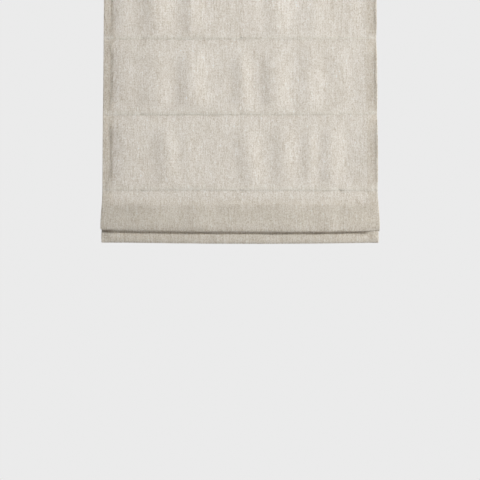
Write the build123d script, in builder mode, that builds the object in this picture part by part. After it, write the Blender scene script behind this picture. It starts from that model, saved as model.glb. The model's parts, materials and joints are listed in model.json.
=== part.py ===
from build123d import *
import math
import os

# Roman blind with a spring-lift headrail, stored part way up as it hangs:
# three flat panels, one forward fold and the hem below it.
# Millimetres. +X to the viewer's right, -Y to the viewer, +Z up.
# The origin is the centre of the bracket screw holes on the top mounting plane.

os.makedirs("parts", exist_ok=True)

# ---- cloth ----------------------------------------------------------------
cloth_width = 914.0          # finished width, 36 in
panel_pitch = 254.0          # seam to seam, 10 in
cloth_t = 2.0                # stand-in thickness: face, turned hems and stitching
face_y = -28.0               # middle of the cloth where it hangs flat
cloth_top = -2.0
seam_z = [-panel_pitch * (n + 1) for n in range(3)]   # sewn lines of rods 1 to 3
seam4_z = -813.0             # sewn line of rod 4, drawn up behind the fold
fold_z = -900.0              # lowest line of the fold
fold_front_y = -72.0         # corner in front of the fold's round
fold_back_y = -35.0          # corner behind it
fold_r = 14.0
hem_z = -939.0               # bottom edge
pocket_h = 35.0              # hem pocket

# ---- headrail -------------------------------------------------------------
rail_half = 452.0
rail_d = 48.0
rail_top = -1.5
rail_h = 40.0
rail_wall = 1.5
rail_lip = 7.0
cap_t = 2.5
tape_h = 25.0
tape_t = 1.5
tape_z = -23.5
tape_half = 450.0

# ---- mounting brackets ----------------------------------------------------
bracket_x = 400.0
bracket_w = 36.0
bracket_t = 1.5
screw_hole_r = 2.25
screw_y = 7.0

# ---- lift: shaft, spools, cradles -----------------------------------------
columns = {"left": -330.0, "centre": 0.0, "right": 330.0}
shaft_y, shaft_z = 0.4, -21.5
shaft_af = 5.0               # hexagon across flats
shaft_half = 358.0
hex_play = 0.2
spool_r = 12.0
spool_flange_r = 15.0
journal_r = 5.0
bearing_play = 0.05
cord_r = 0.7
cord_gap = 0.1
cord_y = shaft_y - spool_r - cord_gap - cord_r       # -12.4

# ---- spring motor ---------------------------------------------------------
motor_x0, motor_x1 = 120.0, 160.0
motor_end_wall = 4.0
store_y = shaft_y + 12.1     # storage drum's axis, beside the shaft
gear_m, gear_teeth = 0.75, 16
drum_core_r = 4.0
drum_flange_r = 5.9

# ---- rods, pockets, rings -------------------------------------------------
rod_r = 2.5
rod_half = 443.0
rod_y = -22.2
rod_up = 4.0                 # rod centre above its sewn line
rod4_up = 6.0
pocket_half = 446.0
pocket_w, pocket_hz, pocket_t = 8.0, 9.0, 0.8
ring_R, ring_r = 4.4, 1.2
rod_z = [z + rod_up for z in seam_z] + [seam4_z + rod4_up]

# ---- weight bar -----------------------------------------------------------
bar_t, bar_h, bar_half = 3.0, 25.0, 444.0
bar_y, bar_z = -20.0, -922.0


def hexagon(play):
    return (shaft_af + play) / math.sqrt(3)


def shifted(points, d):
    """The corners of a line moved sideways by d, to the left of its run."""
    sides = []
    for (a, b), (c, e) in zip(points, points[1:]):
        run = math.hypot(c - a, e - b)
        nx, ny = -(e - b) / run, (c - a) / run
        sides.append(((a + nx * d, b + ny * d), (c + nx * d, e + ny * d)))
    out = [sides[0][0]]
    for (p, q), (r, s) in zip(sides, sides[1:]):
        ux, uy = q[0] - p[0], q[1] - p[1]
        vx, vy = s[0] - r[0], s[1] - r[1]
        t = ((r[0] - p[0]) * vy - (r[1] - p[1]) * vx) / (ux * vy - uy * vx)
        out.append((p[0] + ux * t, p[1] + uy * t))
    return out + [sides[-1][1]]


def gear_points(phase):
    """Outline of a 20-degree involute gear with play in the mesh."""
    rp = gear_m * gear_teeth / 2
    rb = rp * math.cos(math.radians(20))
    ra, rd = rp + 0.8 * gear_m, rp - 1.2 * gear_m

    def inv(r):
        a = math.acos(min(1.0, rb / r))
        return math.tan(a) - a

    half = 0.84 * math.pi / (2 * gear_teeth)
    flank = [(rd, half + inv(rp))]
    for n in range(6):
        r = rb + (ra - rb) * n / 5
        flank.append((r, half + inv(rp) - inv(r)))
    points = []
    for k in range(gear_teeth):
        mid = phase + 2 * math.pi * k / gear_teeth
        side = [(r, mid - w) for r, w in flank] + [(r, mid + w) for r, w in flank[::-1]]
        points += [(r * math.cos(w), r * math.sin(w)) for r, w in side]
    return points


# ---- headrail: open-topped channel with turned-in lips ---------------------
d, t = rail_d / 2, rail_wall
low = rail_top - rail_h
with BuildPart() as headrail:
    with BuildSketch(Plane.YZ.offset(-rail_half)):
        with BuildLine():
            Polyline(
                (-d, low), (d, low), (d, rail_top), (d - t - rail_lip, rail_top),
                (d - t - rail_lip, rail_top - t), (d - t, rail_top - t), (d - t, low + t),
                (-d + t, low + t), (-d + t, rail_top - t), (-d + t + rail_lip, rail_top - t),
                (-d + t + rail_lip, rail_top), (-d, rail_top), close=True,
            )
        make_face()
    extrude(amount=2 * rail_half)
    fillet(headrail.edges().filter_by(Axis.X).group_by(Axis.Z)[0], radius=0.8)
    with BuildSketch(Plane.XY.offset(low - 1)):
        with Locations(*[(x, cord_y) for x in columns.values()]):
            SlotOverall(12, 6)
    extrude(amount=t + 2, mode=Mode.SUBTRACT)
headrail.part.label = "headrail"
export_step(headrail.part, "parts/headrail.step")

# ---- end caps: a plate and a plug that slides into the channel -------------
for side, s in (("left", -1), ("right", 1)):
    with BuildPart() as cap:
        with BuildSketch(Plane.YZ.offset(s * rail_half)):
            with Locations((0, rail_top - rail_h / 2)):
                RectangleRounded(rail_d, rail_h, 0.8)
        extrude(amount=s * cap_t)
        chamfer(cap.faces().sort_by(Axis.X)[-1 if s > 0 else 0].edges(), length=0.6)
        with BuildSketch(Plane.YZ.offset(s * rail_half)):
            with Locations((0, rail_top - rail_h / 2)):
                Rectangle(rail_d - 2 * t - 0.4, rail_h - 2 * t - 0.4)
                Rectangle(rail_d - 2 * t - 4.4, rail_h - 2 * t - 4.4, mode=Mode.SUBTRACT)
        extrude(amount=-s * 12)
    cap.part.label = "end_cap_" + side
    export_step(cap.part, "parts/end_cap_%s.step" % side)

# ---- mounting brackets: bent plate whose feet hold the channel's lips ------
lip_low = rail_top - t
for side, s in (("left", -1), ("right", 1)):
    x0 = s * bracket_x - bracket_w / 2
    b = bracket_t
    with BuildPart() as bracket:
        with BuildSketch(Plane.YZ.offset(x0)):
            with BuildLine():
                Polyline(
                    (-15, 0), (-15, lip_low), (-20, lip_low), (-20, lip_low - b),
                    (-15 + b, lip_low - b), (-15 + b, -b), (15 - b, -b), (15 - b, lip_low - b),
                    (20, lip_low - b), (20, lip_low), (15, lip_low), (15, 0), close=True,
                )
            make_face()
        extrude(amount=bracket_w)
        fillet(bracket.edges().filter_by(Axis.X).group_by(Axis.Z)[-1], radius=1.0)
        with BuildSketch(Plane.XY.offset(-b - 1)):
            with Locations((s * bracket_x, -screw_y), (s * bracket_x, screw_y)):
                Circle(screw_hole_r)
        extrude(amount=b + 2, mode=Mode.SUBTRACT)
    bracket.part.label = "bracket_" + side
    export_step(bracket.part, "parts/bracket_%s.step" % side)

# ---- hook tape on the rail, loop tape on the back of the cloth -------------
with BuildPart() as hook_tape:
    with BuildSketch(Plane.XZ.offset(d)):
        with Locations((0, tape_z)):
            Rectangle(2 * tape_half, tape_h)
    extrude(amount=tape_t)
hook_tape.part.label = "hook_tape"
export_step(hook_tape.part, "parts/hook_tape.step")

with BuildPart() as loop_tape:
    with BuildSketch(Plane.XZ.offset(d + tape_t)):
        with Locations((0, tape_z)):
            Rectangle(2 * tape_half, tape_h)
    extrude(amount=tape_t)
loop_tape.part.label = "loop_tape"
export_step(loop_tape.part, "parts/loop_tape.step")

# ---- lift shaft and its two collars ----------------------------------------
with BuildPart() as lift_shaft:
    with BuildSketch(Plane.YZ.offset(-shaft_half)):
        with Locations((shaft_y, shaft_z)):
            RegularPolygon(hexagon(0), 6)
    extrude(amount=2 * shaft_half)
    chamfer(lift_shaft.faces().sort_by(Axis.X)[0].edges(), length=0.4)
    chamfer(lift_shaft.faces().sort_by(Axis.X)[-1].edges(), length=0.4)
lift_shaft.part.label = "lift_shaft"
export_step(lift_shaft.part, "parts/lift_shaft.step")

with BuildPart() as shaft_collars:
    for x in (-356.0, 350.0):
        with BuildSketch(Plane.YZ.offset(x)):
            with Locations((shaft_y, shaft_z)):
                Circle(6.0)
                RegularPolygon(hexagon(hex_play), 6, mode=Mode.SUBTRACT)
        extrude(amount=6)
shaft_collars.part.label = "shaft_collars"
export_step(shaft_collars.part, "parts/shaft_collars.step")

# ---- spools, their cradles, the turns wound on them, and the lift cords ----
for side, x in columns.items():
    with BuildPart() as spool:
        for start, length, r in (
            (-19.5, 4.0, journal_r), (-15.5, 2.0, spool_flange_r), (-13.5, 27.0, spool_r),
            (13.5, 2.0, spool_flange_r), (15.5, 4.0, journal_r),
        ):
            with BuildSketch(Plane.YZ.offset(x + start)):
                with Locations((shaft_y, shaft_z)):
                    Circle(r)
            extrude(amount=length)
        with BuildSketch(Plane.YZ.offset(x - 20)):
            with Locations((shaft_y, shaft_z)):
                RegularPolygon(hexagon(hex_play), 6)
        extrude(amount=40, mode=Mode.SUBTRACT)
    spool.part.label = "spool_" + side
    export_step(spool.part, "parts/spool_%s.step" % side)

    floor = low + t
    with BuildPart() as cradle:
        with BuildSketch(Plane.XY.offset(floor)):
            with Locations((x, 0)):
                RectangleRounded(40, 36, 2)
        extrude(amount=2)
        for start in (-19.2, 16.0):
            with BuildSketch(Plane.YZ.offset(x + start)):
                with Locations((shaft_y, (floor + shaft_z) / 2)):
                    Rectangle(20, shaft_z - floor)
                with Locations((shaft_y, shaft_z)):
                    Circle(10)
                    Circle(journal_r + bearing_play, mode=Mode.SUBTRACT)
            extrude(amount=3.2)
        with BuildSketch(Plane.XY.offset(floor - 1)):
            with Locations((x, cord_y)):
                SlotOverall(6, 3.4)
        extrude(amount=4, mode=Mode.SUBTRACT)
    cradle.part.label = "cradle_" + side
    export_step(cradle.part, "parts/cradle_%s.step" % side)

with BuildPart() as cord_turns:
    for x in columns.values():
        with BuildSketch(Plane.YZ.offset(x + 1.5)):
            with Locations((shaft_y, shaft_z)):
                Circle(spool_r + 2 * cord_r)
                Circle(spool_r, mode=Mode.SUBTRACT)
        extrude(amount=7.5)
cord_turns.part.label = "cord_turns"
export_step(cord_turns.part, "parts/cord_turns.step")

lock_top = rod_z[3] - ring_r - 0.3
lock_h, lock_r = 11.0, 4.0
cord_end = lock_top - lock_h + 1.5
for side, x in columns.items():
    with BuildPart() as cord:
        with BuildSketch(Plane.XY.offset(cord_end)):
            with Locations((x, cord_y)):
                Circle(cord_r)
        extrude(amount=shaft_z - cord_end)
    cord.part.label = "lift_cord_" + side
    export_step(cord.part, "parts/lift_cord_%s.step" % side)

# ---- spring motor: housing, cover, screws, two geared drums, ribbon --------
motor_floor = low + t
motor_top = -10.0
front_in, back_in = -7.0, 19.8
wall = 1.6
mid_y = (front_in + back_in) / 2
mid_x = (motor_x0 + motor_x1) / 2
screw_at = [(motor_x0 + 2, 7.0), (motor_x1 - 2, 7.0)]
with BuildPart() as motor_housing:
    with BuildSketch(Plane.XY.offset(motor_floor)):
        with Locations((mid_x, mid_y)):
            RectangleRounded(motor_x1 - motor_x0, back_in - front_in + 2 * wall, 1.5)
    extrude(amount=motor_top - motor_floor)
    with BuildSketch(Plane.XY.offset(motor_floor + 2)):
        with Locations((mid_x, mid_y)):
            Rectangle(motor_x1 - motor_x0 - 2 * motor_end_wall, back_in - front_in)
    extrude(amount=motor_top - motor_floor, mode=Mode.SUBTRACT)
    with BuildSketch(Plane.YZ.offset(motor_x0 - 1)):
        with Locations((shaft_y, shaft_z)):
            Circle(drum_core_r + bearing_play)
        with Locations((store_y, shaft_z)):
            Circle(2.0 + bearing_play)
    extrude(amount=motor_x1 - motor_x0 + 2, mode=Mode.SUBTRACT)
    with BuildSketch(Plane.XY.offset(motor_top)):
        with Locations(*screw_at):
            Circle(1.3)
    extrude(amount=-9, mode=Mode.SUBTRACT)
motor_housing.part.label = "motor_housing"
export_step(motor_housing.part, "parts/motor_housing.step")

with BuildPart() as motor_cover:
    with BuildSketch(Plane.XY.offset(motor_top)):
        with Locations((mid_x, mid_y)):
            RectangleRounded(motor_x1 - motor_x0, back_in - front_in + 2 * wall, 1.5)
    extrude(amount=1.8)
    fillet(motor_cover.faces().sort_by(Axis.Z)[-1].edges(), radius=0.6)
    with BuildSketch(Plane.XY.offset(motor_top)):
        with Locations((mid_x, mid_y)):
            Rectangle(31.4, back_in - front_in - 0.6)
            Rectangle(29.0, back_in - front_in - 3.0, mode=Mode.SUBTRACT)
    extrude(amount=-1.5)
    with BuildSketch(Plane.XY.offset(motor_top - 1)):
        with Locations(*screw_at):
            Circle(1.4)
    extrude(amount=4, mode=Mode.SUBTRACT)
motor_cover.part.label = "motor_cover"
export_step(motor_cover.part, "parts/motor_cover.step")

with BuildPart() as cover_screws:
    with BuildSketch(Plane.XY.offset(motor_top + 1.8)):
        with Locations(*screw_at):
            Circle(2.0)
    extrude(amount=1.3)
    fillet(cover_screws.faces().group_by(Axis.Z)[-1].edges(), radius=0.5)
    with BuildSketch(Plane.XY.offset(motor_top + 1.8)):
        with Locations(*screw_at):
            Circle(1.2)
    extrude(amount=-9)
    with BuildSketch(Plane.XY.offset(motor_top + 1.8 + 1.3)):
        with Locations(*screw_at):
            Rectangle(2.6, 0.6)
    extrude(amount=-0.6, mode=Mode.SUBTRACT)
cover_screws.part.label = "cover_screws"
export_step(cover_screws.part, "parts/cover_screws.step")

x_gear = motor_x0 + motor_end_wall + 0.4
for name, y, phase, bearing_r in (
    ("drive_drum", shaft_y, 0.0, drum_core_r),
    ("storage_drum", store_y, math.pi / gear_teeth, 2.0),
):
    with BuildPart() as drum:
        with BuildSketch(Plane.YZ.offset(x_gear)):
            with BuildLine():
                Polyline(*[(y + u, shaft_z + v) for u, v in gear_points(phase)], close=True)
            make_face()
        extrude(amount=5)
        for start, end, r in (
            (motor_x0 + 0.2, x_gear, bearing_r),
            (x_gear + 5, motor_x1 - 6.4, drum_core_r),
            (motor_x1 - 6.4, motor_x1 - 4.4, drum_flange_r),
            (motor_x1 - 4.4, motor_x1 - 0.2, bearing_r),
        ):
            with BuildSketch(Plane.YZ.offset(start)):
                with Locations((y, shaft_z)):
                    Circle(r)
            extrude(amount=end - start)
        if name == "drive_drum":
            with BuildSketch(Plane.YZ.offset(motor_x0 - 1)):
                with Locations((y, shaft_z)):
                    RegularPolygon(hexagon(hex_play), 6)
            extrude(amount=motor_x1 - motor_x0 + 2, mode=Mode.SUBTRACT)
    drum.part.label = name
    export_step(drum.part, "parts/%s.step" % name)

# the ribbon: a coil on each drum and the crossing run between them
coil_in, coil_out = drum_core_r + 0.1, 5.6
run_r, run_t = 5.45, 0.15
turn = math.acos(2 * run_r / (store_y - shaft_y))
ca, sa = math.cos(turn), math.sin(turn)
with BuildPart() as ribbon_spring:
    with BuildSketch(Plane.YZ.offset(x_gear + 6)):
        with Locations((shaft_y, shaft_z), (store_y, shaft_z)):
            Circle(coil_out)
        with BuildLine():
            Polyline(
                (shaft_y + (run_r - run_t) * ca, shaft_z + (run_r - run_t) * sa),
                (shaft_y + (run_r + run_t) * ca, shaft_z + (run_r + run_t) * sa),
                (store_y - (run_r - run_t) * ca, shaft_z - (run_r - run_t) * sa),
                (store_y - (run_r + run_t) * ca, shaft_z - (run_r + run_t) * sa),
                close=True,
            )
        make_face()
        with Locations((shaft_y, shaft_z), (store_y, shaft_z)):
            Circle(coil_in, mode=Mode.SUBTRACT)
    extrude(amount=22)
ribbon_spring.part.label = "ribbon_spring"
export_step(ribbon_spring.part, "parts/ribbon_spring.step")

# ---- cloth: one sheet, down the face, round the fold, up to rod 4 and down -
route = [
    (face_y, cloth_top), (face_y, seam_z[2]), (fold_front_y, fold_z), (fold_back_y, fold_z),
    (-24.0, seam4_z), (-20.6, seam4_z), (-22.9, hem_z),
]
radii = [90.0, fold_r, fold_r, 1.6, 1.6]
turns = [-1, 1, 1, -1, -1]      # each corner turns to the left (+1) or right of the run
half = cloth_t / 2
left, right = shifted(route, half), shifted(route, -half)
with BuildPart() as fabric:
    with BuildSketch(Plane.YZ.offset(-cloth_width / 2)):
        with BuildLine():
            FilletPolyline(*left, radius=[r - half * k for r, k in zip(radii, turns)])
            Line(left[-1], right[-1])
            FilletPolyline(*right[::-1], radius=[r + half * k for r, k in zip(radii, turns)][::-1])
            Line(right[0], left[0])
        make_face()
        # the hem is turned up behind into a pocket for the weight bar
        with Locations((bar_y, hem_z + pocket_h / 2)):
            RectangleRounded(7.4, pocket_h, 1.0)
        with Locations((bar_y, hem_z + 1.6 + 30.0 / 2)):
            RectangleRounded(4.0, 30.0, 0.6, mode=Mode.SUBTRACT)
    extrude(amount=cloth_width)
fabric.part.label = "fabric"
export_step(fabric.part, "parts/fabric.step")
length = sum(math.dist(p, q) for p, q in zip(route[1:], route[2:4] + [route[4]]))
corner = [
    (r, math.pi - abs(math.atan2(
        (a[0] - b[0]) * (c[1] - b[1]) - (a[1] - b[1]) * (c[0] - b[0]),
        (a[0] - b[0]) * (c[0] - b[0]) + (a[1] - b[1]) * (c[1] - b[1]))))
    for a, b, c, r in zip(route, route[1:], route[2:], radii)
][1:3]
length -= sum(2 * r * math.tan(w / 2) - r * w for r, w in corner)
print("fold loop, seam 3 to seam 4: %.1f mm, pitch %.1f mm" % (length, panel_pitch))

# ---- rods, tips, pocket tapes and rings -------------------------------------
for n in range(4):
    z = rod_z[n]
    with BuildPart() as rod:
        with BuildSketch(Plane.YZ.offset(-rod_half)):
            with Locations((rod_y, z)):
                Circle(rod_r)
        extrude(amount=2 * rod_half)
    rod.part.label = "rod_%d" % (n + 1)
    export_step(rod.part, "parts/rod_%d.step" % (n + 1))

    with BuildPart() as rod_tips:
        for s in (-1, 1):
            with BuildSketch(Plane.YZ.offset(s * (rod_half - 6.0))):
                with Locations((rod_y, z)):
                    Circle(rod_r + 0.5)
            extrude(amount=s * 8.0)
            with BuildSketch(Plane.YZ.offset(s * (rod_half - 6.0))):
                with Locations((rod_y, z)):
                    Circle(rod_r + 0.02)
            extrude(amount=s * 6.0, mode=Mode.SUBTRACT)
        fillet(
            rod_tips.faces().sort_by(Axis.X)[0].edges() + rod_tips.faces().sort_by(Axis.X)[-1].edges(),
            radius=0.8,
        )
    rod_tips.part.label = "rod_tips_%d" % (n + 1)
    export_step(rod_tips.part, "parts/rod_tips_%d.step" % (n + 1))

    with BuildPart() as rod_pocket:
        with BuildSketch(Plane.YZ.offset(-pocket_half)):
            with Locations((rod_y, z)):
                RectangleRounded(pocket_w, pocket_hz, 2.0)
            if n < 3:
                # the sewn flange lies against the back of the cloth
                with Locations((rod_y - pocket_w / 2 - 0.2, z - rod_up)):
                    Rectangle(0.8, 8.0)
                with Locations((rod_y - pocket_w / 2 + 0.2, z)):
                    Rectangle(0.8, 4.0)
            else:
                # the sewn flange hangs down behind the crease
                with Locations((rod_y + pocket_w / 2 - pocket_t / 2, z - rod4_up - 1.5)):
                    Rectangle(pocket_t, 14.0)
            with Locations((rod_y, z)):
                RectangleRounded(pocket_w - 2 * pocket_t, pocket_hz - 2 * pocket_t, 1.4, mode=Mode.SUBTRACT)
        extrude(amount=2 * pocket_half)
    rod_pocket.part.label = "rod_pocket_%d" % (n + 1)
    export_step(rod_pocket.part, "parts/rod_pocket_%d.step" % (n + 1))

    back = rod_y + pocket_w / 2
    with BuildPart() as rings:
        for x in columns.values():
            with Locations((x, cord_y, z)):
                Torus(ring_R, ring_r)
            with Locations((x, back + 0.9, z)):
                Box(7.0, 1.8, 3.2)
            with Locations((x, back + 1.2 + 0.6, z)):
                Box(2.4, 2.4, 2.0)
    rings.part.label = "rings_%d" % (n + 1)
    export_step(rings.part, "parts/rings_%d.step" % (n + 1))

# ---- cord locks under the lowest rings --------------------------------------
with BuildPart() as cord_locks:
    for x in columns.values():
        with BuildSketch(Plane.XY.offset(lock_top)):
            with Locations((x, cord_y)):
                Circle(lock_r)
        extrude(amount=-lock_h)
    fillet(cord_locks.faces().group_by(Axis.Z)[0].edges(), radius=1.5)
    fillet(cord_locks.faces().group_by(Axis.Z)[-1].edges(), radius=1.0)
    with BuildSketch(Plane.XY.offset(lock_top)):
        with Locations(*[(x, cord_y) for x in columns.values()]):
            Circle(cord_r + 0.06)
    extrude(amount=-(lock_h - 1.2), mode=Mode.SUBTRACT)
cord_locks.part.label = "cord_locks"
export_step(cord_locks.part, "parts/cord_locks.step")

# ---- weight bar in the hem pocket, with tips ---------------------------------
with BuildPart() as weight_bar:
    with BuildSketch(Plane.YZ.offset(-bar_half)):
        with Locations((bar_y, bar_z)):
            RectangleRounded(bar_t, bar_h, 0.6)
    extrude(amount=2 * bar_half)
weight_bar.part.label = "weight_bar"
export_step(weight_bar.part, "parts/weight_bar.step")

with BuildPart() as bar_tips:
    for s in (-1, 1):
        with BuildSketch(Plane.YZ.offset(s * bar_half)):
            with Locations((bar_y, bar_z)):
                RectangleRounded(bar_t + 0.4, bar_h + 0.6, 0.8)
        extrude(amount=s * 6.0)
    fillet(
        bar_tips.faces().sort_by(Axis.X)[0].edges() + bar_tips.faces().sort_by(Axis.X)[-1].edges(),
        radius=0.6,
    )
bar_tips.part.label = "bar_tips"
export_step(bar_tips.part, "parts/bar_tips.step")
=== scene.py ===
import json
import math

import bpy
import numpy as np
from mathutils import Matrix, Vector


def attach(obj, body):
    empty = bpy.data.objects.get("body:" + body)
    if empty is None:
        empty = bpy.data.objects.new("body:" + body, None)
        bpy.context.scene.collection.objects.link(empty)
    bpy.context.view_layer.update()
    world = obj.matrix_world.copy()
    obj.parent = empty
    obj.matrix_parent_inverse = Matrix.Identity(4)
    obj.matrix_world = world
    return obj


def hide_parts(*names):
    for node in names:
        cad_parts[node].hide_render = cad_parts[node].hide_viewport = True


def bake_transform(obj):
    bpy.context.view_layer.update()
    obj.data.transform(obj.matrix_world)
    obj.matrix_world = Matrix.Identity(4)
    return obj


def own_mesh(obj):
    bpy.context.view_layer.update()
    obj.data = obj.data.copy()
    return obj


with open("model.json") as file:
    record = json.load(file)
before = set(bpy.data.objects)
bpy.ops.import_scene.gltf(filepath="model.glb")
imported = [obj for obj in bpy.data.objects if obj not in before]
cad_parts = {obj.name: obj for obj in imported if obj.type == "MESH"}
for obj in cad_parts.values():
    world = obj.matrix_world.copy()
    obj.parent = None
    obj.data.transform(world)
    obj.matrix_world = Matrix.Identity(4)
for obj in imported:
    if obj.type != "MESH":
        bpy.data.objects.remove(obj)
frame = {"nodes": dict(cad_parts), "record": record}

scene = bpy.context.scene
nodes = frame["nodes"]


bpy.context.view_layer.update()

# ---- sizes in millimetres, as in the CAD part ---------------------------------
half_w = 457.0
face_y = -28.6               # middle of the hanging cloth
cloth_t = 0.8
top_z, rail_z = -2.0, -41.5
seams = (-254.0, -508.0, -762.0)
side_hem = 34.0
turn_r = 0.7                 # of the turned side edges
columns = (-330.0, 0.0, 330.0)
cord_y, cord_r = -12.4, 0.7
shaft_y, shaft_z = 0.4, -21.5
rod_y = -22.2
rod_z = (-250.0, -504.0, -758.0, -807.0)


# ---- small helpers -----------------------------------------------------------
def ease(a, b, x):
    t = np.clip((x - a) / (b - a), 0.0, 1.0)
    return t * t * (3 - 2 * t)


def bell(d, w):
    return np.exp(-0.5 * (d / w) ** 2)


def field(u, v, su, sv, seed):
    """Smooth noise from -1 to 1, in cells su wide and sv high."""
    g = np.random.default_rng(seed).uniform(-1, 1, (64, 64))
    a, b = u / su + 31.37, v / sv + 17.71
    i, j = np.floor(a).astype(int), np.floor(b).astype(int)
    p, q = a - i, b - j
    p, q = p * p * (3 - 2 * p), q * q * (3 - 2 * q)
    i0, i1, j0, j1 = i % 64, (i + 1) % 64, j % 64, (j + 1) % 64
    return (g[i0, j0] * (1 - p) + g[i1, j0] * p) * (1 - q) + (g[i0, j1] * (1 - p) + g[i1, j1] * p) * q


def add_mesh(name, verts, quads, uv=None, sharp=()):
    """A mesh object from points in millimetres, smooth shaded; sharp holds groups of points whose edges stay crisp."""
    mesh = bpy.data.meshes.new(name)
    mesh.from_pydata((np.asarray(verts, float) * 0.001).tolist(), [], quads)
    mesh.polygons.foreach_set("use_smooth", np.ones(len(mesh.polygons), bool))
    if uv is not None:
        layer = mesh.uv_layers.new(name="cloth")
        loops = np.zeros(len(mesh.loops), int)
        mesh.loops.foreach_get("vertex_index", loops)
        layer.data.foreach_set("uv", (np.asarray(uv, float)[loops] * 0.001).ravel())
    if len(sharp):
        ends = np.zeros(len(mesh.edges) * 2, int)
        mesh.edges.foreach_get("vertices", ends)
        ends = ends.reshape(-1, 2)
        crisp = np.zeros(len(ends), bool)
        for group in sharp:
            mark = np.zeros(len(verts), bool)
            mark[list(group)] = True
            crisp |= mark[ends[:, 0]] & mark[ends[:, 1]]
        mesh.edges.foreach_set("use_edge_sharp", crisp)
    mesh.validate()
    mesh.update()
    obj = bpy.data.objects.new(name, mesh)
    scene.collection.objects.link(obj)
    return obj


def route(start, legs, step):
    """Points along a line of arcs in the YZ plane: y, z, the face's direction and the run so far.
    A leg is its length and its turn in degrees; 0 heads down, and a positive turn leans to the room."""
    y, z, lean = start[0], start[1], math.radians(start[2])
    rows, run = [(y, z, lean, 0.0)], 0.0
    for length, turn, *own in legs:
        n = max(2, int(round(length / (own[0] if own else step))))
        fine, turn = 8, math.radians(turn)
        h = length / n / fine
        for k in range(n * fine):
            a = lean + turn * (k + 0.5) / (n * fine)
            y, z, run = y - math.sin(a) * h, z - math.cos(a) * h, run + h
            if k % fine == fine - 1:
                rows.append((y, z, lean + turn * (k + 1) / (n * fine), run))
        lean += turn
    r = np.array(rows)
    return np.column_stack([r[:, 0], r[:, 1], -np.cos(r[:, 2]), np.sin(r[:, 2]), r[:, 3]])


def stations(half, hem, step=4.4):
    """Across the cloth: x, depth from the face layer, outward direction (x, face) and run, with both side edges turned behind."""
    r = turn_r
    back = np.linspace(-(half - hem), -(half - r), 7)
    rows = [(x, -2 * r, 0.0, -1.0) for x in back]
    for a in np.radians((30, 60, 90, 120, 150)):
        rows.append((-(half - r) - r * math.sin(a), -r - r * math.cos(a), -math.sin(a), -math.cos(a)))
    flat, at = [-(half - r)], -(half - r)
    while at < 0:
        ring = min(abs(at - c) for c in columns)
        at += 2.0 if half + at < 46 else min(step, 2.0 + (half + at - 46) * 0.12, max(1.5, 1.5 + (ring - 10) * 0.25))
        flat.append(at)
    flat = np.array(flat) + (half - r)
    flat = flat / flat[-1] * (half - r) - (half - r)
    flat = np.concatenate([flat, -flat[-2::-1]])
    rows += [(x, 0.0, 0.0, 1.0) for x in flat]
    left = rows[:12]
    rows += [(-x, o, -nx, nn) for x, o, nx, nn in reversed(left)]
    c = np.array(rows)
    run = np.concatenate([[0], np.cumsum(np.hypot(np.diff(c[:, 0]), np.diff(c[:, 1])))])
    return np.column_stack([c, run - run[-1] / 2])


def plain_stations(half, step):
    x = np.linspace(-half, half, int(2 * half / step) + 1)
    z = np.zeros_like(x)
    return np.column_stack([x, z, z, z + 1, x])


def shell(name, rows, cols, out, thick, v0=0.0, shift=None, wide=None):
    """A closed sheet of cloth: rows run down it, cols across, out(x, run) lifts its face and shift(x, run) moves it up, in mm; wide is each row's width as a share."""
    R, C = len(rows), len(cols)
    x, s = np.meshgrid(cols[:, 0], rows[:, 4])
    lift = cols[None, :, 1] + out(x, s)
    up = shift(x, s) if shift else np.zeros_like(x)
    both = []
    for side in (0.5, -0.5):
        n = lift + side * thick * cols[None, :, 3]
        both.append(np.stack([
            (x + side * thick * cols[None, :, 2]) * (1.0 if wide is None else wide[:, None]),
            rows[:, 0, None] + rows[:, 2, None] * n,
            rows[:, 1, None] + rows[:, 3, None] * n + up,
        ], -1).reshape(-1, 3))
    face = np.arange(R * C).reshape(R, C)
    rear = face + R * C
    quads = []

    def grid(a, b, c, d):
        quads.extend(np.stack([a, b, c, d], -1).reshape(-1, 4).tolist())

    grid(face[:-1, :-1], face[1:, :-1], face[1:, 1:], face[:-1, 1:])
    grid(rear[:-1, :-1], rear[:-1, 1:], rear[1:, 1:], rear[1:, :-1])
    grid(face[0, :-1], face[0, 1:], rear[0, 1:], rear[0, :-1])
    grid(face[-1, 1:], face[-1, :-1], rear[-1, :-1], rear[-1, 1:])
    grid(face[1:, 0], face[:-1, 0], rear[:-1, 0], rear[1:, 0])
    grid(face[:-1, -1], face[1:, -1], rear[1:, -1], rear[:-1, -1])
    u = np.broadcast_to(cols[None, :, 4], (R, C)).ravel()
    v = np.broadcast_to(-(rows[:, 4, None] + v0), (R, C)).ravel()
    uv = np.column_stack([np.concatenate([u, u]), np.concatenate([v, v])])
    rims = [g for a in (face, rear) for g in (a[0], a[-1], a[:, 0], a[:, -1])]
    return add_mesh(name, np.concatenate(both), quads, uv, rims)


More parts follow.
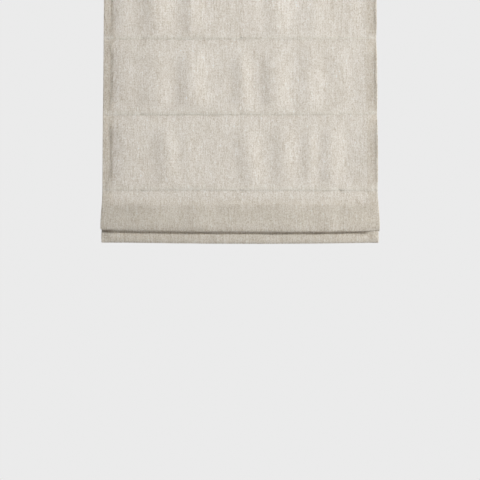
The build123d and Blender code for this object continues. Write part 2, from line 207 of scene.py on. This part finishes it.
def tube(name, line, radius, sides=10, ripple=None):
    """A closed tube along a line of points in mm."""
    p = np.asarray(line, float)
    t = np.gradient(p, axis=0)
    t /= np.linalg.norm(t, axis=1)[:, None]
    ref = np.array([1.0, 0, 0]) if abs(t[0, 0]) < 0.9 else np.array([0, 1.0, 0])
    a = ref - t * (t @ ref)[:, None]
    a /= np.linalg.norm(a, axis=1)[:, None]
    b = np.cross(t, a)
    ang = np.linspace(0, 2 * np.pi, sides, endpoint=False)
    run = np.concatenate([[0], np.cumsum(np.linalg.norm(np.diff(p, axis=0), axis=1))])
    r = np.full((len(p), sides), float(radius))
    if ripple is not None:
        r = ripple(ang[None, :], run[:, None])
    v = p[:, None] + r[..., None] * (np.cos(ang)[None, :, None] * a[:, None] + np.sin(ang)[None, :, None] * b[:, None])
    n = len(p)
    i = np.arange(n * sides).reshape(n, sides)
    j = np.roll(i, -1, axis=1)
    faces = np.stack([i[:-1], j[:-1], j[1:], i[1:]], -1).reshape(-1, 4).tolist()
    return v.reshape(-1, 3), faces + [i[0][::-1].tolist(), i[-1].tolist()]


def joined(name, parts):
    verts, faces, at = [], [], 0
    for v, f in parts:
        verts.append(v)
        faces += [[k + at for k in q] for q in f]
        at += len(v)
    return add_mesh(name, np.concatenate(verts), faces)


def stitch(a, b, normal, radius=0.3):
    """One thread stitch from a to b, bowed out of the cloth."""
    a, b, n = np.array(a, float), np.array(b, float), np.array(normal, float)
    t = np.array([0.0, 0.18, 0.5, 0.82, 1.0])
    p = a + (b - a) * t[:, None] + n * (np.array([-0.35, 0.0, 0.1, 0.0, -0.35]))[:, None]
    d = (b - a) / np.linalg.norm(b - a)
    e = np.cross(d, n)
    ang = np.linspace(0, 2 * np.pi, 6, endpoint=False)
    r = radius * np.array([0.55, 1, 1, 1, 0.55])
    v = p[:, None] + r[:, None, None] * (np.cos(ang)[None, :, None] * n + np.sin(ang)[None, :, None] * e)
    i = np.arange(30).reshape(5, 6)
    j = np.roll(i, -1, axis=1)
    f = np.stack([i[:-1], i[1:], j[1:], j[:-1]], -1).reshape(-1, 4).tolist()
    return v.reshape(-1, 3), f + [i[0].tolist(), i[-1][::-1].tolist()]


# ---- materials -----------------------------------------------------------------
def put(tree, kind, values=None, **props):
    node = tree.nodes.new(kind)
    for k, v in props.items():
        setattr(node, k, v)
    for k, v in (values or {}).items():
        if isinstance(v, bpy.types.NodeSocket):
            tree.links.new(v, node.inputs[k])
        else:
            node.inputs[k].default_value = v
    return node


def blank(name):
    mat = bpy.data.materials.new(name)
    mat.use_nodes = True
    mat.node_tree.nodes.clear()
    return mat, mat.node_tree, put(mat.node_tree, "ShaderNodeOutputMaterial")


def calc(t, op, a, b=None, c=None):
    values = {i: v for i, v in enumerate((a, b, c)) if v is not None}
    return put(t, "ShaderNodeMath", values, operation=op).outputs[0]


def grain(t, vector, scale, shift, detail=3.0, rough=0.55):
    where = put(t, "ShaderNodeVectorMath", {0: vector, 1: scale, 2: (shift, shift * 0.73, shift * 1.31)},
                operation="MULTIPLY_ADD").outputs[0]
    return put(t, "ShaderNodeTexNoise", {"Vector": where, "Scale": 1.0, "Detail": detail, "Roughness": rough}).outputs[0]


def shade(t, colour, amount, factor, warm=0.0):
    """colour, darker and lighter by amount as factor goes from 0.3 to 0.7; warm makes the dark parts browner."""
    to = put(t, "ShaderNodeMapRange", {"Value": factor, "From Min": 0.3, "From Max": 0.7, "To Min": -amount, "To Max": amount},
             clamp=False).outputs[0]
    by = put(t, "ShaderNodeVectorMath", {0: (1 - warm, 1.0, 1 + 1.6 * warm), "Scale": to}, operation="SCALE").outputs[0]
    return put(t, "ShaderNodeVectorMath", {0: by, 1: tuple(colour), 2: tuple(colour)}, operation="MULTIPLY_ADD").outputs[0]


def linen(name, colour, through, share):
    mat, t, out = blank(name)
    uv = put(t, "ShaderNodeUVMap", uv_map="cloth").outputs["UV"]
    parts = put(t, "ShaderNodeSeparateXYZ", {"Vector": uv})
    u, v = parts.outputs["X"], parts.outputs["Y"]
    weft = grain(t, uv, (30, 430, 1), 3.1, 3.0, 0.6)
    warp = grain(t, uv, (340, 40, 1), 8.7, 2.0, 0.5)
    slub = grain(t, uv, (230, 10, 1), 5.3, 2.0, 0.5)
    cloud = grain(t, uv, (9, 7, 1), 12.9, 2.0, 0.5)
    nub = grain(t, uv, (330, 200, 1), 1.7, 2.0, 0.5)
    tone = calc(t, "ADD", calc(t, "MULTIPLY", warp, 0.24), calc(t, "MULTIPLY", weft, 0.14))
    tone = calc(t, "ADD", tone, calc(t, "MULTIPLY", slub, 0.12))
    tone = calc(t, "ADD", tone, calc(t, "ADD", calc(t, "MULTIPLY", cloud, 0.05), calc(t, "MULTIPLY", nub, 0.45)))
    # plain weave: threads that pass over and under each other, none quite straight
    uw = calc(t, "MULTIPLY_ADD", warp, 0.0007, u)
    vw = calc(t, "MULTIPLY_ADD", weft, 0.0007, v)
    su = calc(t, "SINE", calc(t, "MULTIPLY", uw, math.pi / 0.00062))
    sv = calc(t, "SINE", calc(t, "MULTIPLY", vw, math.pi / 0.00066))
    weave = calc(t, "MULTIPLY", su, sv)
    height = calc(t, "MULTIPLY_ADD", weave, 0.25, calc(t, "MULTIPLY", tone, 2.2))
    normal = put(t, "ShaderNodeBump", {"Strength": 0.8, "Distance": 0.0004, "Height": height}).outputs[0]
    shown = calc(t, "MULTIPLY_ADD", weave, 0.035, tone)
    front = shade(t, colour, 0.27, shown, 0.14)
    glow = shade(t, through, 0.42, shown, 0.14)
    face = put(t, "ShaderNodeBsdfPrincipled", {
        "Base Color": front, "Roughness": 0.92, "Sheen Weight": 0.06, "Sheen Roughness": 0.5,
        "Specular IOR Level": 0.12, "Normal": normal})
    lit = put(t, "ShaderNodeBsdfTranslucent", {"Color": glow, "Normal": normal})
    # where a pocket is sewn behind it, the cloth lets less light through and sends more back, as a double layer does;
    # the band is also placed over the pocket's shadow on the seam as a painted lift that lightens that shadow
    seam_double_and_painted_lift = 0.0
    for z in seams:
        far = calc(t, "ABSOLUTE", calc(t, "SUBTRACT", v, (z + 5.4) * 0.001))
        seam_double_and_painted_lift = calc(t, "ADD", seam_double_and_painted_lift, put(t, "ShaderNodeMapRange", {
            "Value": far, "From Min": 0.003, "From Max": 0.0088, "To Min": 1.0, "To Max": 0.0},
            interpolation_type="SMOOTHSTEP").outputs[0])
    # painted lift: less translucent share and more reflection in the band over the pocket's shadow
    mix = put(t, "ShaderNodeMixShader", {
        0: calc(t, "MULTIPLY_ADD", seam_double_and_painted_lift, -0.20, share), 1: face.outputs[0], 2: lit.outputs[0]})
    t.links.new(mix.outputs[0], out.inputs["Surface"])
    return mat


def woven(name, colour, twill=0.0011, share=0.35):
    """Flat tape: a fine twill, with its slant lines."""
    mat, t, out = blank(name)
    uv = put(t, "ShaderNodeUVMap", uv_map="cloth").outputs["UV"]
    parts = put(t, "ShaderNodeSeparateXYZ", {"Vector": uv})
    slant = calc(t, "ADD", parts.outputs["X"], parts.outputs["Y"])
    rib = calc(t, "SINE", calc(t, "MULTIPLY", slant, 2 * math.pi / twill))
    fuzz = grain(t, uv, (700, 700, 1), 4.1, 3.0, 0.6)
    broad = grain(t, uv, (20, 60, 1), 9.3, 2.0, 0.5)
    tone = calc(t, "ADD", calc(t, "MULTIPLY", fuzz, 0.6), calc(t, "MULTIPLY", broad, 0.4))
    height = calc(t, "MULTIPLY_ADD", rib, 0.35, tone)
    normal = put(t, "ShaderNodeBump", {"Strength": 0.6, "Distance": 0.00025, "Height": height}).outputs[0]
    base = put(t, "ShaderNodeBsdfPrincipled", {
        "Base Color": shade(t, colour, 0.12, tone), "Roughness": 0.9, "Specular IOR Level": 0.15,
        "Sheen Weight": 0.05, "Normal": normal})
    lit = put(t, "ShaderNodeBsdfTranslucent", {"Color": shade(t, colour, 0.12, tone), "Normal": normal})
    mix = put(t, "ShaderNodeMixShader", {0: share, 1: base.outputs[0], 2: lit.outputs[0]})
    t.links.new(mix.outputs[0], out.inputs["Surface"])
    return mat


def solid(name, colour, rough, fine=(900, 900, 900), depth=0.00004, tint=0.05, metal=0.0, broad=(35, 35, 35), rough_by=0.08, spec=0.5, coat=0.0, share=0.0):
    """Moulded, coated or plated stuff: a fine surface grain, a slow change of tone and of shine."""
    mat, t, out = blank(name)
    here = put(t, "ShaderNodeTexCoord").outputs["Object"]
    small = grain(t, here, fine, 2.3, 3.0, 0.6)
    slow = grain(t, here, broad, 6.1, 3.0, 0.5)
    tone = calc(t, "ADD", calc(t, "MULTIPLY", small, 0.45), calc(t, "MULTIPLY", slow, 0.55))
    shine = put(t, "ShaderNodeMapRange", {"Value": slow, "From Min": 0.3, "From Max": 0.7, "To Min": rough - rough_by, "To Max": rough + rough_by}).outputs[0]
    normal = put(t, "ShaderNodeBump", {"Strength": 0.5, "Distance": depth, "Height": small}).outputs[0]
    base = put(t, "ShaderNodeBsdfPrincipled", {
        "Base Color": shade(t, colour, tint, tone), "Roughness": shine, "Metallic": metal,
        "Specular IOR Level": spec, "Coat Weight": coat, "Normal": normal})
    last = base
    if share:
        lit = put(t, "ShaderNodeBsdfTranslucent", {"Color": shade(t, colour, tint, tone), "Normal": normal})
        last = put(t, "ShaderNodeMixShader", {0: share, 1: base.outputs[0], 2: lit.outputs[0]})
    t.links.new(last.outputs[0], out.inputs["Surface"])
    return mat


def braid(name, colour):
    """Braided cord: strands that cross at a slant."""
    mat, t, out = blank(name)
    here = put(t, "ShaderNodeTexCoord").outputs["Object"]
    parts = put(t, "ShaderNodeSeparateXYZ", {"Vector": here})
    around = calc(t, "ADD", parts.outputs["X"], parts.outputs["Y"])
    a = calc(t, "SINE", calc(t, "MULTIPLY", calc(t, "ADD", parts.outputs["Z"], around), 2 * math.pi / 0.0012))
    b = calc(t, "SINE", calc(t, "MULTIPLY", calc(t, "SUBTRACT", parts.outputs["Z"], around), 2 * math.pi / 0.0012))
    fuzz = grain(t, here, (1500, 1500, 1500), 7.7, 2.0, 0.6)
    height = calc(t, "MULTIPLY_ADD", calc(t, "MULTIPLY", a, b), 0.4, fuzz)
    normal = put(t, "ShaderNodeBump", {"Strength": 0.6, "Distance": 0.0002, "Height": height}).outputs[0]
    base = put(t, "ShaderNodeBsdfPrincipled", {
        "Base Color": shade(t, colour, 0.1, fuzz), "Roughness": 0.8, "Specular IOR Level": 0.2, "Normal": normal})
    t.links.new(base.outputs[0], out.inputs["Surface"])
    return mat


linen_mat = linen("linen", (0.905, 0.864, 0.780), (0.92, 0.888, 0.842), 0.55)
tape_mat = woven("tape", (0.97, 0.96, 0.94))
thread_mat = solid("thread", (0.74, 0.69, 0.62), 0.75, (2600, 2600, 2600), 0.0001, 0.10, spec=0.2)
cord_mat = braid("cord", (0.82, 0.80, 0.75))
white = solid("white_plastic", (0.84, 0.84, 0.82), 0.42, (1400, 1400, 1400), 0.00003, 0.03)
grey = solid("spool_plastic", (0.70, 0.71, 0.72), 0.35, (1200, 1200, 1200), 0.00003, 0.04)
motor = solid("motor_plastic", (0.60, 0.61, 0.62), 0.48, (1600, 1600, 1600), 0.00005, 0.05)
coat = solid("rail_white", (0.86, 0.86, 0.84), 0.38, (500, 1400, 1400), 0.00003, 0.03, coat=0.15)
zinc = solid("zinc_steel", (0.72, 0.73, 0.74), 0.32, (700, 700, 700), 0.00002, 0.09, 1.0, (60, 60, 60), 0.1)
spring = solid("spring_steel", (0.55, 0.56, 0.58), 0.28, (60, 1800, 1800), 0.00002, 0.1, 1.0, (20, 90, 90), 0.08)
lacquer = solid("bar_steel", (0.80, 0.80, 0.79), 0.35, (400, 1500, 1500), 0.00003, 0.04, coat=0.2)
fibre = solid("rod_fibre", (0.97, 0.96, 0.93), 0.40, (25, 2200, 2200), 0.00003, 0.05, share=0.6)
clear = solid("ring_clear", (0.85, 0.86, 0.86), 0.16, (500, 500, 500), 0.00001, 0.03, rough_by=0.04)

finishes = {
    "rail_white": coat, "white_plastic": white, "spool_plastic": grey, "motor_plastic": motor, "zinc_steel": zinc,
    "spring_steel": spring, "bar_steel": lacquer, "rod_fibre": fibre, "ring_clear": clear, "cord": cord_mat,
}
for part in frame["record"]["subparts"]:
    mat = finishes.get(part["material_slot"])
    if mat is None:
        continue
    obj = nodes[part["node"]]
    for s in obj.material_slots:
        s.link = "OBJECT"
        s.material = mat


def piece(obj, mat, body, slot, *stands_for):
    obj.data.materials.append(mat)
    if body:
        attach(obj, body)
    if stands_for:
        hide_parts(*stands_for)
    return obj


# ---- how the cloth stands out of flat --------------------------------------------
# soft upright ridges of each panel: x at mid height, height, half width, sideways lean over the panel
ridges = (
    ((-283, 5.6, 28, 6), (-163, 4.0, 20, 8), (37, 2.8, 30, 0), (120, 4.0, 25, 6), (250, 2.0, 25, -5), (376, 1.2, 16, 3)),
    ((-276, 4.2, 33, 4), (-163, 7.2, 28, 14), (7, 4.4, 20, 16), (117, 5.2, 29, 6), (231, 3.1, 25, -6), (330, 1.2, 22, 4)),
    ((-240, 5.2, 25, 26), (-173, 2.4, 19, 6), (27, 5.4, 27, 38), (143, 3.5, 25, 6), (231, 2.4, 15, 4), (306, 3.3, 20, -4)),
)


def edge_out(x, t, k):
    """Between the rods the panel stands forward of its side hem, with a soft crease along the hem's sewn edge."""
    w = ease(0.0, 0.24, t) * (1 - ease(0.76, 1.0, t))
    dl, dr = x + half_w, half_w - x
    cl, cr = 4 + 20 * w, 7 * w
    left = 7.9 * np.where(dl < cl, 1 + 0.15 * (cl - dl) / cl, np.clip(1 - (dl - cl) / 58, 0, 1) ** 2) + (0.3, 0.35, 0.4)[k] * (1 - ease(cl - 5, cl + 6, dl))
    right = 7.4 * np.clip(1 - dr / 110, 0, 1) ** 2 + 1.4 * (1 - ease(cr - 3, cr + 3.5, dr))
    stand = 2.2 + 6.7 * (1 - ease(90, 560, dl))
    return w * (stand + right - left)


def seam_rise(x, k):
    """No seam is quite level, and each ring's tack pulls it a little out of line."""
    level, tilt = ((1.9, 0.0042), (-1.5, 0.0044), (0.0, 0.0))[k]
    rise = level + tilt * x
    for cx in columns:
        d = x - cx
        rise = rise + (3.6 * bell(d, 4.0) if k < 2 else -0.5 * d * bell(d, 6.5))
    return rise + 0.5 * field(x, x * 0, 40, 50, 20 + k)


def panel_out(x, z):
    """How far the hanging cloth stands out to the room, in mm."""
    calm = ease(-8, -70, z)
    out = calm * (0.5 * field(x, z, 96, 130, 11) + 0.25 * field(x, z, 37, 66, 12))
    marks = (-30.0,) + seams
    for k in range(3):
        t = (marks[k] - z) / (marks[k] - marks[k + 1])
        here = ease(0.03, 0.40, t) * (1 - ease(0.80, 0.99, t))
        for cx, h, w, lean in ridges[k]:
            d = x - cx - lean * (np.clip(t, 0, 1) - 0.5)
            out = out + here * h * (bell(d, w) - 0.25 * bell(d - 2.4 * w, 1.2 * w) - 0.2 * bell(d + 2.4 * w, 1.2 * w))
        out = out + edge_out(x, t, k)
    for k, sz in enumerate(seams):
        d = z - sz - seam_rise(x, k)
        flat = np.zeros_like(x)
        near = 1 - 0.7 * ease(400, 436, np.abs(x)) - sum(0.8 * bell(x - cx, 6.5) for cx in columns)
        uneven = np.clip(0.8 + 0.7 * field(x, flat + sz, 19, 50, 21), 0.15, 1.35)
        out = out - (1.1, 1.25, 0.45)[k] * near * uneven * bell(d, 1.05)
        out = out + 0.16 * field(x, flat + sz, 9, 50, 22) * bell(d, 9) * near
        for cx in columns:
            out = out - 2.1 * bell(x - cx, 4.6) * bell(d, 2.0) - 0.5 * bell(np.hypot(x - cx, z - sz), 9.0)
        for cx in (-448.0, 448.0):
            out = out - 1.3 * bell(x - cx, 4.0) * bell(d, 2.4)
    return out


def fold_out(x, s):
    out = panel_out(x, seams[2] - s) * (1 - 0.6 * ease(15, 70, s))
    for cx, h, w, lean in ((-293, 3.0, 55, 10), (-137, 3.6, 36, 6), (-30, 1.9, 25, -6), (165, 1.8, 30, 6), (290, 2.8, 25, 4), (366, 1.6, 19, -4)):
        d = x - cx - lean * s / 140
        out = out + ease(8, 80, s) * (1 - ease(120, 170, s)) * h * bell(d, w)
    curl = ease(8, 40, s) * (1 - ease(110, 165, s))
    out = out - curl * (1.8 * np.exp(-(x + half_w) / 20) - 3.2 * np.clip(1 - (half_w - x) / 95, 0, 1) ** 2)
    return out * (1 - ease(136, 176, s))


def fold_up(x, s):
    """The fold's lower edge is a little higher at the left and lower right of the middle."""
    wave = 3.2 * bell(x + 457, 150) - 3.0 * bell(x - 130, 190) + 0.5 * field(x, x * 0, 60, 50, 31)
    return wave * ease(40, 138, s) * (1 - 0.9 * ease(147, 178, s))


def return_up(x, s):
    wave = 3.2 * bell(x + 457, 150) - 3.0 * bell(x - 130, 190) + 0.5 * field(x, x * 0, 60, 50, 31)
    return wave * 0.1 * (1 - ease(0, 50, s))


def skirt_out(x, s):
    hang = ease(12, 60, s) * (1 - ease(100, 124, s))
    out = hang * (0.5 * field(x, s, 90, 90, 41) + 0.2 * field(x, s, 30, 50, 42))
    out = out + 0.12 * ease(60, 118, s) * field(x, s, 14, 30, 43)
    top = ease(153, 165, s) * (ease(half_w - side_hem - 12, half_w - side_hem - 2, np.abs(x)))
    return out + 1.7 * top


def skirt_up(x, s):
    ends = 2.4 * bell(x + 457, 140) + 1.6 * bell(x - 457, 110) - 1.9 * bell(x - 60, 210) + 0.3 * field(x, x * 0, 50, 50, 44)
    return ends * ease(30, 120, s)


# ---- the cloth ------------------------------------------------------------------------
across = stations(half_w, side_hem)


def down(z0, z1):
    """Rows of the flat hanging cloth, closer together at the seams."""
    at, zs = z0, [z0]
    while at > z1 + 0.01:
        near = min(abs(at - s) for s in seams)
        at -= 0.8 if near < 4.8 else 1.6 if near < 9 else min(6.2, 1.6 + (near - 9) * 0.35)
        zs.append(at)
    zs = np.array(zs)
    zs = z0 + (zs - z0) * (z1 - z0) / (zs[-1] - z0)
    one = np.ones_like(zs)
    return np.column_stack([face_y * one, zs, -one, 0 * one, -zs])


def hanging(x, s):
    return panel_out(x, -s)


spread = 0.0058              # the cloth is a little wider at its lower end


def widths(rows):
    return 1 + spread * ease(-100, -762, rows[:, 1])


def full(rows):
    return np.full(len(rows), 1 + spread)


head_rows, body_rows = down(top_z, rail_z), down(rail_z, seams[2])
head = shell("fabric_head", head_rows, across, hanging, cloth_t, wide=widths(head_rows))
body = shell("fabric_body", body_rows, across, hanging, cloth_t, wide=widths(body_rows))

loop = [
    (36, 22.58367446, 1.6), (48.11069627, 0.0, 4.0), (35, -14.0, 3.6), (22, -34.0, 2.2),
    (3.4906585, -80.0, 0.6), (22.52503497, 0.0, 3.0), (11.05154862, -70.47748828, 1.6),
]
fold_rows = route((face_y, seams[2], 0.0), loop, 4.0)
fold = shell("fabric_fold", fold_rows, across, fold_out, cloth_t, 762.0, fold_up, full(fold_rows))
end = fold_rows[-1]
e_lean = 22.58367446 - 14.0 - 184.47748828
return_rows = route((end[0], end[1], e_lean), [(69.48101646, 0.0)], 4.0)
back = shell("fabric_return", return_rows, across, lambda x, s: 0 * x, cloth_t, 762.0 + fold_rows[-1, 4], return_up, full(return_rows))
end = return_rows[-1]
skirt_rows = route((end[0], end[1], e_lean), [
    (1.6 * math.radians(2.6 - e_lean), 2.6 - e_lean, 0.7), (105.9, 0.0, 3.6), (10.0, -14.0, 1.6), (8.0, -26.0, 1.3),
    (2.6 * math.radians(142.6), -142.6, 0.7), (25.0, 0.0, 3.2),
    (4.0, -50.0, 1.0), (4.0, 0.0, 1.0), (4.0, 48.0, 1.0),
], 4.0)
skirt = shell("fabric_skirt", skirt_rows, across, skirt_out, cloth_t, 762.0 + fold_rows[-1, 4] + return_rows[-1, 4], skirt_up, full(skirt_rows) + 0.007 * ease(20, 112, skirt_rows[:, 4]))

piece(head, linen_mat, "headrail", "linen", "fabric")
piece(body, linen_mat, "headrail", "linen", "fabric")
piece(fold, linen_mat, "rod_3_set", "linen", "fabric")
piece(back, linen_mat, None, "linen", "fabric")
piece(skirt, linen_mat, "rod_4_set", "linen", "fabric")
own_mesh(body)
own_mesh(fold)
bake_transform(back)

# ---- sewing ---------------------------------------------------------------------------
def seam_line(name, z, body_name):
    """A row of stitches across the face, and the two tacks that hold each ring behind."""
    rng = np.random.default_rng(int(-z))
    parts, x = [], -half_w + 5
    while x < half_w - 8:
        run = 3.1 + rng.uniform(-0.25, 0.25)
        ends = np.array([x, x + run])
        dz = rng.uniform(-0.18, 0.18, 2) + seam_rise(ends, seams.index(z))
        y = face_y - cloth_t / 2 - panel_out(ends, np.array([z, z]) + dz)
        parts.append(stitch((ends[0], y[0], z + dz[0]), (ends[1], y[1], z + dz[1]), (0, -1, 0), 0.27))
        x += run + 0.95
    for cx in columns:
        for k in (-1.3, 0.0, 1.3):
            zz = np.array([z + 2.6, z - 2.4]) + rng.uniform(-0.4, 0.4, 2)
            xx = np.array([cx + k, cx + k]) + rng.uniform(-0.5, 0.5, 2)
            y = face_y - cloth_t / 2 - panel_out(xx, zz)
            parts.append(stitch((xx[0], y[0], zz[0]), (xx[1], y[1], zz[1]), (0, -1, 0), 0.3))
    return piece(joined(name, parts), thread_mat, body_name, "linen")


for n in (1, 2, 3):
    thread = seam_line(f"seam_thread_{n}", seams[n - 1], "headrail")
    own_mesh(thread)


def hem_line(name, s_at):
    """Stitches along the top of the hem pocket, on one face of the cloth."""
    i = int(np.argmin(np.abs(skirt_rows[:, 4] - s_at)))
    y, z, ny, nz, s = skirt_rows[i]
    rng = np.random.default_rng(77)
    parts, x = [], -half_w + 5
    while x < half_w - 8:
        run = 3.1 + rng.uniform(-0.25, 0.25)
        xx = np.array([x, x + run])
        o = skirt_out(xx, np.full(2, s)) + cloth_t / 2
        up = skirt_up(xx, np.full(2, s))
        pts = [(xx[k], y + ny * o[k], z + nz * o[k] + up[k]) for k in (0, 1)]
        parts.append(stitch(pts[0], pts[1], (0, ny, nz), 0.27))
        x += run + 0.95
    return piece(joined(name, parts), thread_mat, "rod_4_set", "linen")


hem_line("hem_thread", 92.0)

# ---- rod pockets: a tape folded round each rod and sewn to the cloth ------------------------
pocket_half = 446.0


def loop_rows(points):
    p = np.array(points, float)
    t = np.gradient(p, axis=0)
    t /= np.linalg.norm(t, axis=1)[:, None]
    run = np.concatenate([[0], np.cumsum(np.linalg.norm(np.diff(p, axis=0), axis=1))])
    return np.column_stack([p, t[:, 1], -t[:, 0], run])


def pocket(n):
    z = rod_z[n]
    if n < 3:
        low = z - 7.5
        pts = [(-27.67, low + d) for d in (0.0, 2.0, 3.5, 4.5, 6.2, 8.4, 10.4, 12.0)]
        pts += [(-27.45, z + 5.5), (-26.9, z + 5.9), (-26.0, z + 5.7), (-24.5, z + 4.95), (-22.9, z + 4.2)]
        for a in np.radians(np.arange(75, -120, -20)):
            pts.append((rod_y + 3.55 * math.cos(a), z + 3.75 * math.sin(a)))
        pts += [(-24.9, z - 4.3), (-26.3, z - 4.9), (-26.95, z - 5.6), (-27.05, z - 6.4), (-27.05, low + 0.2)]
    else:
        pts = [(-18.6, z - 14.0), (-18.6, z - 9.0), (-18.55, z - 4.5)]
        for a in np.radians(np.arange(-18, 321, 20)):
            pts.append((rod_y + 3.55 * math.cos(a), z + 3.75 * math.sin(a)))
        pts += [(-19.2, z - 4.0), (-19.3, z - 8.0), (-19.35, z - 11.5)]
    rows = loop_rows(pts)

    def out(x, s):
        loose = 0.12 * field(x, s, 26, 9, 51 + n)
        if n == 3:
            return loose
        y, at, toward = (np.interp(s, rows[:, 4], rows[:, c]) for c in (0, 1, 2))
        sewn = ease(-24.0, -27.0, y)
        dent = sum(2.75 * bell(x - cx, 7.5) for cx in columns) + 2.2 * bell(np.abs(x) - 448, 6.0)
        # the stitches draw the cloth back to the tape, which stays flat across them
        deep = np.max([-panel_out(x, at + dz) for dz in np.arange(-5.0, 5.1, 0.5)], axis=0)
        back = 1.3 * ease(half_w - side_hem - 11, half_w - side_hem - 2, np.abs(x)) + np.maximum(deep, dent - 0.2)
        return toward * sewn * back + (1 - sewn) * loose

    obj = shell(f"pocket_tape_{n + 1}", rows, plain_stations(pocket_half, 4.0), out, 0.55)
    return piece(obj, tape_mat, f"rod_{n + 1}_set", "tape", f"rod_pocket_{n + 1}")


for n in range(4):
    pocket(n)

# ---- hook and loop tapes on the headrail ---------------------------------------------------
def strip(name, y0, y1, z0, z1, half):
    """A flat tape with a slightly uneven pile."""
    ys, zs = (y0 + y1) / 2, np.concatenate([np.linspace(z1, z0, 14)])
    one = np.ones_like(zs)
    rows = np.column_stack([ys * one, zs, -one, 0 * one, z1 - zs])

    def out(x, s):
        return 0.05 * field(x, s, 12, 5, 61)

    return shell(name, rows, plain_stations(half, 6.0), out, y1 - y0)


hook = piece(strip("hook_strip", -25.5, -24.05, -36.0, -11.0, 450.0), tape_mat, "headrail", "tape", "hook_tape")
loops = piece(strip("loop_strip", -27.85, -25.55, -36.0, -11.0, 450.0), tape_mat, "headrail", "tape", "loop_tape")

# ---- lift cords -----------------------------------------------------------------------------
def lay(ang, run):
    return 0.60 + 0.10 * np.abs(np.cos(1.5 * (ang - 2 * np.pi * run / 5.2)))


def cords(name, z0, z1, step):
    n = max(2, int(round((z0 - z1) / step)))
    parts = []
    for cx in columns:
        line = np.column_stack([np.full(n + 1, cx), np.full(n + 1, cord_y), np.linspace(z0, z1, n + 1)])
        parts.append(tube(name, line, cord_r, 10, lay))
    return joined(name, parts)


lines = [f"lift_cord_{s}" for s in ("left", "centre", "right")]
piece(cords("cords_rail", shaft_z, rail_z, 1.2), cord_mat, "headrail", "cord", *lines)
upper = piece(cords("cords_upper", rail_z, -758.0, 1.2), cord_mat, "headrail", "cord", *lines)
lower = piece(cords("cords_lower", -758.0, -818.0, 1.2), cord_mat, None, "cord", *lines)
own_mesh(upper)
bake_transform(lower)

turns = []
for cx in columns:
    a = np.linspace(0, 2 * np.pi * 4.6, 200)
    turns.append(tube("turns", np.column_stack([
        cx + 1.5 + 0.75 + a / (2 * np.pi) * 1.42, shaft_y - 12.75 * np.cos(a), shaft_z - 12.75 * np.sin(a)]), 0.68, 8))
piece(joined("cord_coils", turns), cord_mat, "shaft", "cord", "cord_turns")

# ---- stage, camera and light -------------------------------------------------------------------
pale = 0.83                  # how bright the plain surroundings look
floor_z = -2.2
side = np.linspace(-9, 9, 7)
stage = add_mesh(
    "floor", [(x * 1000.0, y * 1000.0, floor_z * 1000.0) for y in side for x in side],
    [[i * 7 + j, i * 7 + j + 1, i * 7 + j + 8, i * 7 + j + 7] for i in range(6) for j in range(6)])
mat, t, out = blank("floor")
seen = put(t, "ShaderNodeLightPath").outputs["Is Camera Ray"]
paper = put(t, "ShaderNodeBsdfDiffuse", {"Color": (0.45, 0.45, 0.45, 1)})
even = put(t, "ShaderNodeEmission", {"Color": (1.0, 1.0, 1.0, 1), "Strength": pale})
both = put(t, "ShaderNodeMixShader", {0: seen, 1: paper.outputs[0], 2: even.outputs[0]})
t.links.new(both.outputs[0], out.inputs["Surface"])
stage.data.materials.append(mat)

world = bpy.data.worlds.new("world")
scene.world = world
world.use_nodes = True
t = world.node_tree
t.nodes.clear()
seen = put(t, "ShaderNodeLightPath").outputs["Is Camera Ray"]
dim = put(t, "ShaderNodeBackground", {"Color": (1, 1, 1, 1), "Strength": 0.11})
even = put(t, "ShaderNodeBackground", {"Color": (1, 1, 1, 1), "Strength": pale})
both = put(t, "ShaderNodeMixShader", {0: seen, 1: dim.outputs[0], 2: even.outputs[0]})
t.links.new(both.outputs[0], put(t, "ShaderNodeOutputWorld").inputs["Surface"])


def area(name, at, to, size, power, colour=(1, 1, 1)):
    data = bpy.data.lights.new(name, "AREA")
    data.shape = "RECTANGLE"
    data.size, data.size_y = size
    data.energy = power
    data.color = colour
    obj = bpy.data.objects.new(name, data)
    scene.collection.objects.link(obj)
    obj.location = at
    obj.rotation_euler = (Vector(to) - Vector(at)).to_track_quat("-Z", "Y").to_euler()
    obj.visible_camera = False
    return obj


area("key", (6.52, -4.56, 0.236), (0, 0, -0.6), (2.0, 0.28), 690)
area("fill", (-2.2, -3.2, -0.1), (0, 0, -0.6), (2.4, 1.0), 9)
area("behind", (0, 2.95, 0.72), (0, 0, -0.7), (4.6, 1.2), 67.0, (1.0, 0.98, 1.02))
area("above", (0, -1.3, 2.3), (0, 0, -0.4), (2.6, 1.4), 9)

cam_data = bpy.data.cameras.new("camera")
cam = bpy.data.objects.new("camera", cam_data)
scene.collection.objects.link(cam)
scene.camera = cam
cam_data.sensor_width = 36.0
cam_data.lens = 58.5
cam_data.clip_start, cam_data.clip_end = 0.05, 60.0
cam_data.dof.use_dof = False
cam.location = (0.0, -2.63, -0.9875)
cam.rotation_euler = (math.radians(91.3), 0.0, 0.0)

scene.view_settings.view_transform = "Standard"
scene.view_settings.look = "None"
